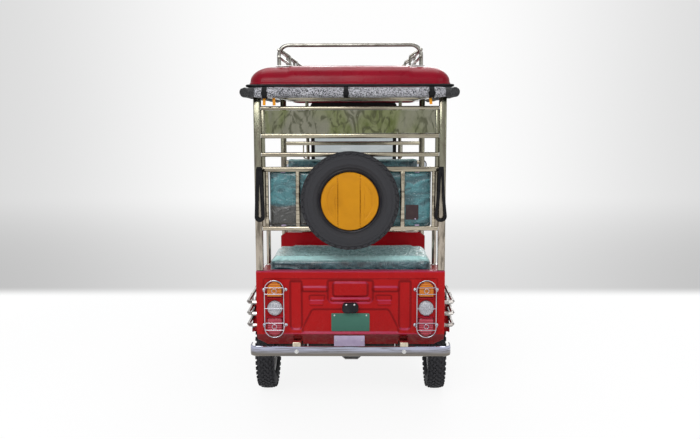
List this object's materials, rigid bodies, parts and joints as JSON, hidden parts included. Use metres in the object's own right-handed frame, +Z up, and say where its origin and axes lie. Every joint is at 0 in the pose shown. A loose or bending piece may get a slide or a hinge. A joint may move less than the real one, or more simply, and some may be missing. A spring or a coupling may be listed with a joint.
{
  "type": "electric rickshaw",
  "caption": "Open-sided electric passenger rickshaw with hard roof, facing benches, steel tube frame, spare wheel behind and a steered front wheel.",
  "frame": {"origin": "on the ground under the middle of the vehicle's box", "axes": "+Y towards the front of the vehicle, +X to the driver's right, +Z up"},
  "size_m": [1.144, 2.84, 1.913],
  "materials": {
    "red_paint": "gloss crimson paint on pressed sheet",
    "steel": "polished stainless tube and sheet",
    "chrome": "bright plated",
    "black_steel": "black chassis paint",
    "tyre_rubber": "matt rubber",
    "rim_silver": "silver paint",
    "yellow_plastic": "yellow painted cover",
    "teal_cover": "teal coated fabric in clear wrapping",
    "black_plastic": "black moulded plastic and rubber",
    "grey_mesh": "rolled grey speckled curtain",
    "lamp_plastic": "lamp lenses",
    "amber_plastic": "amber lenses",
    "clear_glass": "clear glass",
    "green_plate": "blank green plate",
    "pale_plate": "blank pale plate"
  },
  "bodies": {
    "chassis": {"chassis_frame": "black_steel", "floor_pan": "black_steel", "rear_axle": "black_steel", "motor": "black_steel", "spare_tyre": "tyre_rubber", "spare_rim": "rim_silver", "spare_cover": "yellow_plastic", "rear_body": "red_paint", "tail_panel": "red_paint", "front_box": "red_paint", "roof_shell": "red_paint", "front_cowl": "red_paint", "leg_shield": "red_paint", "tail_lamp_left": "lamp_plastic", "tail_lamp_right": "lamp_plastic", "number_plate": "green_plate", "plate_lamp": "black_plastic", "rear_sign": "pale_plate", "rear_bumper": "chrome", "rear_frame": "steel", "rear_sheet": "steel", "roof_frame": "steel", "mid_frame": "steel", "roof_trim": "black_plastic", "roof_rack": "steel", "curtain_rolls": "grey_mesh", "grab_loop_left": "black_plastic", "grab_loop_right": "black_plastic", "rear_seat_cushion": "teal_cover", "rear_backrest": "teal_cover", "front_bench_cushion": "teal_cover", "front_bench_backrest": "teal_cover", "driver_cushion": "teal_cover", "driver_backrest": "teal_cover", "battery_block": "black_plastic", "side_guard_left": "steel", "side_guard_right": "steel", "scuttle": "black_plastic", "headlamp": "chrome", "windscreen_frame": "black_plastic", "windscreen_glass": "clear_glass", "front_guard": "steel", "mirror_left": "black_plastic", "mirror_right": "black_plastic"},
    "steering": {"front_fork": "black_steel", "handlebar": "black_plastic", "front_mudguard": "red_paint"},
    "front_wheel": {"front_tyre": "tyre_rubber", "front_rim": "rim_silver"},
    "rear_left_wheel": {"rear_tyre_left": "tyre_rubber", "rear_rim_left": "rim_silver"},
    "rear_right_wheel": {"rear_tyre_right": "tyre_rubber", "rear_rim_right": "rim_silver"}
  },
  "joints": [
    {"name": "steering_turn", "type": "hinge", "parent": "chassis", "child": "steering", "pos_m": [0, 1.138, 0.25], "axis": [0, -0.342, 0.9397], "range_deg": [-35, 35]},
    {"name": "front_wheel_spin", "type": "hinge", "parent": "steering", "child": "front_wheel", "pos_m": [0, 1.138, 0.25], "axis": [1, 0, 0], "continuous": true},
    {"name": "rear_left_spin", "type": "hinge", "parent": "chassis", "child": "rear_left_wheel", "pos_m": [-0.4705, -0.93, 0.25], "axis": [1, 0, 0], "continuous": true},
    {"name": "rear_right_spin", "type": "hinge", "parent": "chassis", "child": "rear_right_wheel", "pos_m": [0.4705, -0.93, 0.25], "axis": [1, 0, 0], "continuous": true}
  ]
}
